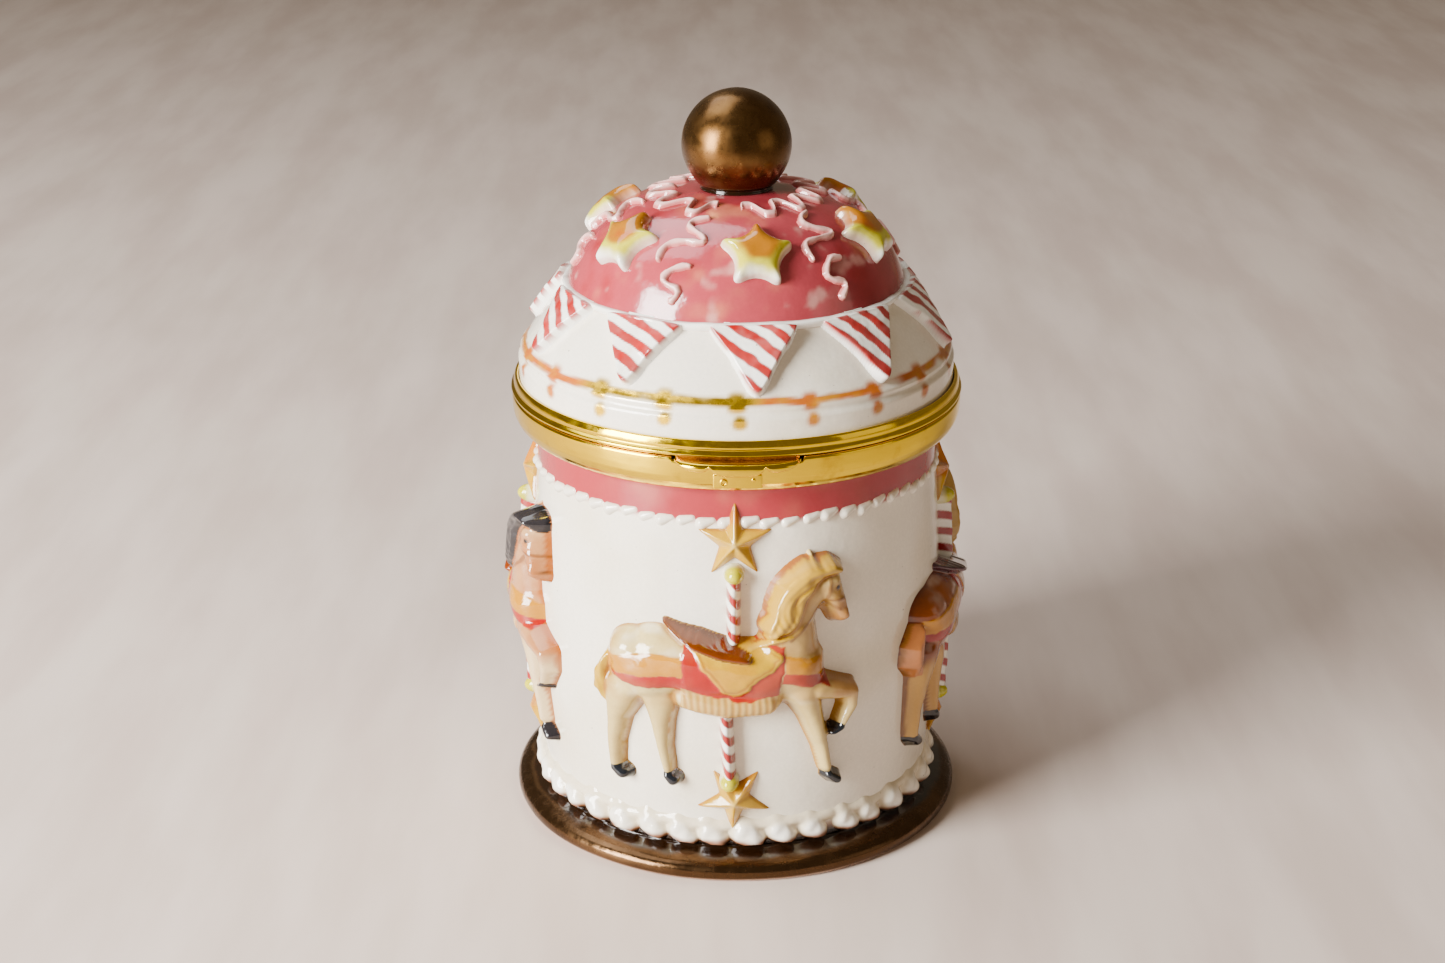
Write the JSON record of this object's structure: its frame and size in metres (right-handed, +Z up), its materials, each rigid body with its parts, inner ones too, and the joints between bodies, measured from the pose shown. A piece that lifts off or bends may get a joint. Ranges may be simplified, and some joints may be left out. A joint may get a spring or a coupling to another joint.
{
  "type": "carousel music box",
  "caption": "Glazed ceramic musical box: round jar with carousel horses in relief, hinged domed lid in gilt bezels, and a wind-up comb movement under the floor.",
  "frame": {"origin": "centre of the foot, on the table", "axes": "+Z up through the finial, -Y out of the front horse and the lip, +X to the right seen from the front"},
  "size_m": [0.1002, 0.1019, 0.1553],
  "materials": {
    "cream_glaze": "gloss",
    "rose_glaze": "gloss",
    "horse_glaze": "gloss",
    "ochre_glaze": "gloss",
    "lemon_glaze": "gloss",
    "striped_glaze": "gloss",
    "pink_slip": "gloss",
    "bronze_lustre": "metallic lustre",
    "gilt_brass": "polished",
    "tray_board": "satin",
    "crimson_felt": "matte",
    "cast_bed": "nickelled",
    "steel": "satin",
    "yellow_brass": "satin",
    "white_nylon": "satin"
  },
  "bodies": {
    "jar": {"jar_body": "cream_glaze", "foot_scallops": "cream_glaze", "collar_beads": "cream_glaze", "horse_front": "horse_glaze", "horse_right": "horse_glaze", "horse_back": "horse_glaze", "horse_left": "horse_glaze", "pole_stars": "ochre_glaze", "barber_poles": "striped_glaze", "pole_balls": "lemon_glaze", "lower_bezel": "gilt_brass", "catch_nib": "gilt_brass", "hinge_pin": "gilt_brass", "tray_floor": "tray_board", "tray_lining": "crimson_felt", "bedplate": "cast_bed", "movement_screws": "steel", "screw_washers": "steel", "clutch_spring": "steel", "cylinder_bearings": "cast_bed", "comb": "steel", "comb_screws": "steel", "governor_frame": "cast_bed"},
    "lid": {"lid_dome": "rose_glaze", "upper_bezel": "gilt_brass", "finial_ball": "bronze_lustre", "thumb_lip": "gilt_brass", "lid_stars": "ochre_glaze", "lid_scrolls": "pink_slip", "crown_wave": "pink_slip", "bunting_cord": "cream_glaze", "bunting_flags": "striped_glaze"},
    "catch": {"catch_spring": "gilt_brass"},
    "winding": {"winding_arbor": "steel", "winding_key": "yellow_brass"},
    "barrel": {"spring_barrel": "yellow_brass", "mainspring": "steel"},
    "cylinder": {"music_cylinder": "yellow_brass", "cylinder_arbor": "steel", "cylinder_pinion": "yellow_brass", "cylinder_wheel": "yellow_brass"},
    "governor": {"governor_arbor": "yellow_brass", "worm_wheel": "white_nylon"},
    "fly": {"worm_shaft": "steel", "fan_fly": "white_nylon"},
    "stop": {"stop_rod": "steel", "stop_spring": "steel"}
  },
  "joints": [
    {"name": "lid_hinge", "type": "hinge", "parent": "jar", "child": "lid", "pos_m": [0, 0.0496, 0.0929], "axis": [-1, 0, 0], "range_deg": [0, 100]},
    {"name": "catch_flex", "type": "hinge", "parent": "lid", "child": "catch", "pos_m": [0, -0.0487, 0.0904], "axis": [-1, 0, 0], "range_deg": [0, 8], "stiffness_Nm_per_rad": 0.05},
    {"name": "key_wind", "type": "hinge", "parent": "jar", "child": "winding", "pos_m": [-0.018, 0, 0.01], "axis": [0, 0, 1], "continuous": true},
    {"name": "cylinder_turn", "type": "hinge", "parent": "jar", "child": "cylinder", "pos_m": [0.0052, 0, 0.0316], "axis": [1, 0, 0], "continuous": true},
    {"name": "barrel_turn", "type": "hinge", "parent": "jar", "child": "barrel", "pos_m": [-0.018, 0, 0.0225], "axis": [0, 0, 1], "continuous": true},
    {"name": "governor_turn", "type": "hinge", "parent": "jar", "child": "governor", "pos_m": [0.0186, 0.0125, 0.0316], "axis": [1, 0, 0], "continuous": true},
    {"name": "fly_spin", "type": "hinge", "parent": "jar", "child": "fly", "pos_m": [0.02025, 0.0197, 0.04], "axis": [0, 0, 1], "continuous": true},
    {"name": "stop_rise", "type": "slide", "parent": "jar", "child": "stop", "axis": [0, 0, 1], "range_m": [0, 0.003], "deforming": ["stop_spring"]}
  ],
  "couplings": [
    {"joint": "barrel_turn", "follows": "cylinder_turn", "ratio": 0.36364},
    {"joint": "governor_turn", "follows": "cylinder_turn", "ratio": -4},
    {"joint": "fly_spin", "follows": "cylinder_turn", "ratio": 80},
    {"joint": "stop_rise", "follows": "lid_hinge", "m_per_rad": 0.0017}
  ]
}
